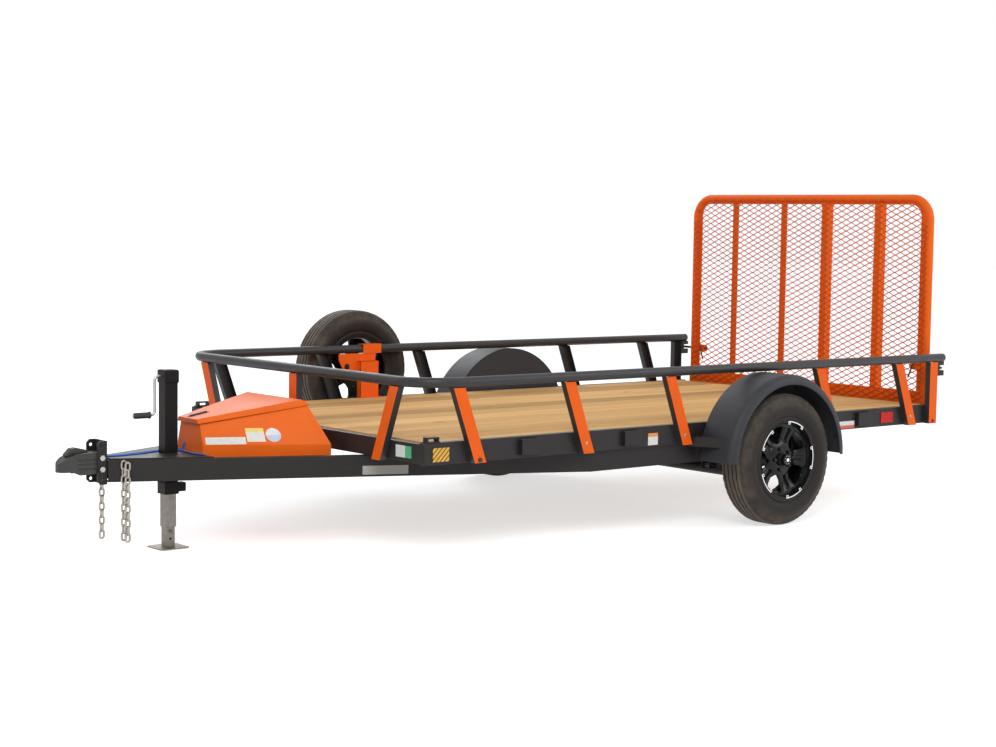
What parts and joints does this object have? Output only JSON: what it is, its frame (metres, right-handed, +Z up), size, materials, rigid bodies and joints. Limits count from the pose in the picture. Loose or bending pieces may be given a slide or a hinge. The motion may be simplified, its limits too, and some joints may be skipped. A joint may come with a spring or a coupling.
{
  "type": "utility trailer",
  "caption": "single-axle utility trailer with a planked deck, pipe rails, tongue toolbox, crank jack, spare wheel and a mesh ramp gate",
  "frame": {"origin": "on the ground under the middle of the whole trailer", "axes": "+X forward to the coupler, +Y to the trailer's left side, +Z up"},
  "size_m": [5.027, 2.564, 1.757],
  "materials": {
    "black_paint": "gloss powder coat",
    "orange_paint": "gloss powder coat",
    "deck_wood": "rough sawn, treated",
    "tyre_rubber": "new rubber",
    "wheel_alloy": "gloss black with machined edges",
    "zinc": "galvanised",
    "chrome": "bright",
    "cast_black": "painted casting",
    "black_plastic": "moulded",
    "amber_lens": "moulded lens",
    "red_lens": "moulded lens",
    "cable_sheath": "extruded sheath"
  },
  "bodies": {
    "frame": {"side_channels": "black_paint", "end_channels": "black_paint", "cross_members": "black_paint", "deck_planks": "deck_wood", "tongue_beams": "black_paint", "tongue_plate": "black_paint", "top_rail": "black_paint", "side_posts": "orange_paint", "front_posts": "orange_paint", "stake_pockets": "black_paint", "fenders": "black_paint", "fender_brackets": "black_paint", "axle": "black_paint", "leaf_springs": "black_paint", "spring_hangers": "black_paint", "spring_clamps": "black_paint", "tyre_spare": "tyre_rubber", "rim_spare": "wheel_alloy", "spare_bracket": "orange_paint", "jack_tube": "black_paint", "jack_crank": "zinc", "crank_grip": "black_plastic", "coupler_adjuster": "black_paint", "coupler": "cast_black", "coupler_latch": "cast_black", "coupler_bolts": "zinc", "safety_chains": "zinc", "toolbox_body": "orange_paint", "gate_hinges": "black_paint", "latch_keepers": "black_paint", "amber_lenses": "amber_lens", "red_lenses": "red_lens", "wiring": "cable_sheath"},
    "wheel_left": {"tyre_left": "tyre_rubber", "rim_left": "wheel_alloy", "hub_left": "chrome"},
    "wheel_right": {"tyre_right": "tyre_rubber", "rim_right": "wheel_alloy", "hub_right": "chrome"},
    "jack_leg": {"jack_inner_tube": "zinc", "jack_foot": "zinc"},
    "lid": {"toolbox_lid": "orange_paint", "lid_handle": "black_plastic"},
    "gate": {"gate_frame": "orange_paint", "gate_bars": "orange_paint", "gate_mesh": "orange_paint", "gate_latches": "zinc"}
  },
  "joints": [
    {"name": "wheel_left_spin", "type": "hinge", "parent": "frame", "child": "wheel_left", "pos_m": [-0.971, 1.16, 0.344], "axis": [0, 1, 0], "continuous": true},
    {"name": "wheel_right_spin", "type": "hinge", "parent": "frame", "child": "wheel_right", "pos_m": [-0.971, -1.16, 0.344], "axis": [0, 1, 0], "continuous": true},
    {"name": "gate_hinge", "type": "hinge", "parent": "frame", "child": "gate", "pos_m": [-2.499, 0, 0.52], "axis": [0, -1, 0], "range_deg": [0, 115]},
    {"name": "lid_hinge", "type": "hinge", "parent": "frame", "child": "lid", "pos_m": [1.327, 0, 0.667], "axis": [0, -1, 0], "range_deg": [0, 80]},
    {"name": "jack_slide", "type": "slide", "parent": "frame", "child": "jack_leg", "axis": [0, 0, 1], "range_m": [-0.18, 0.16]}
  ]
}
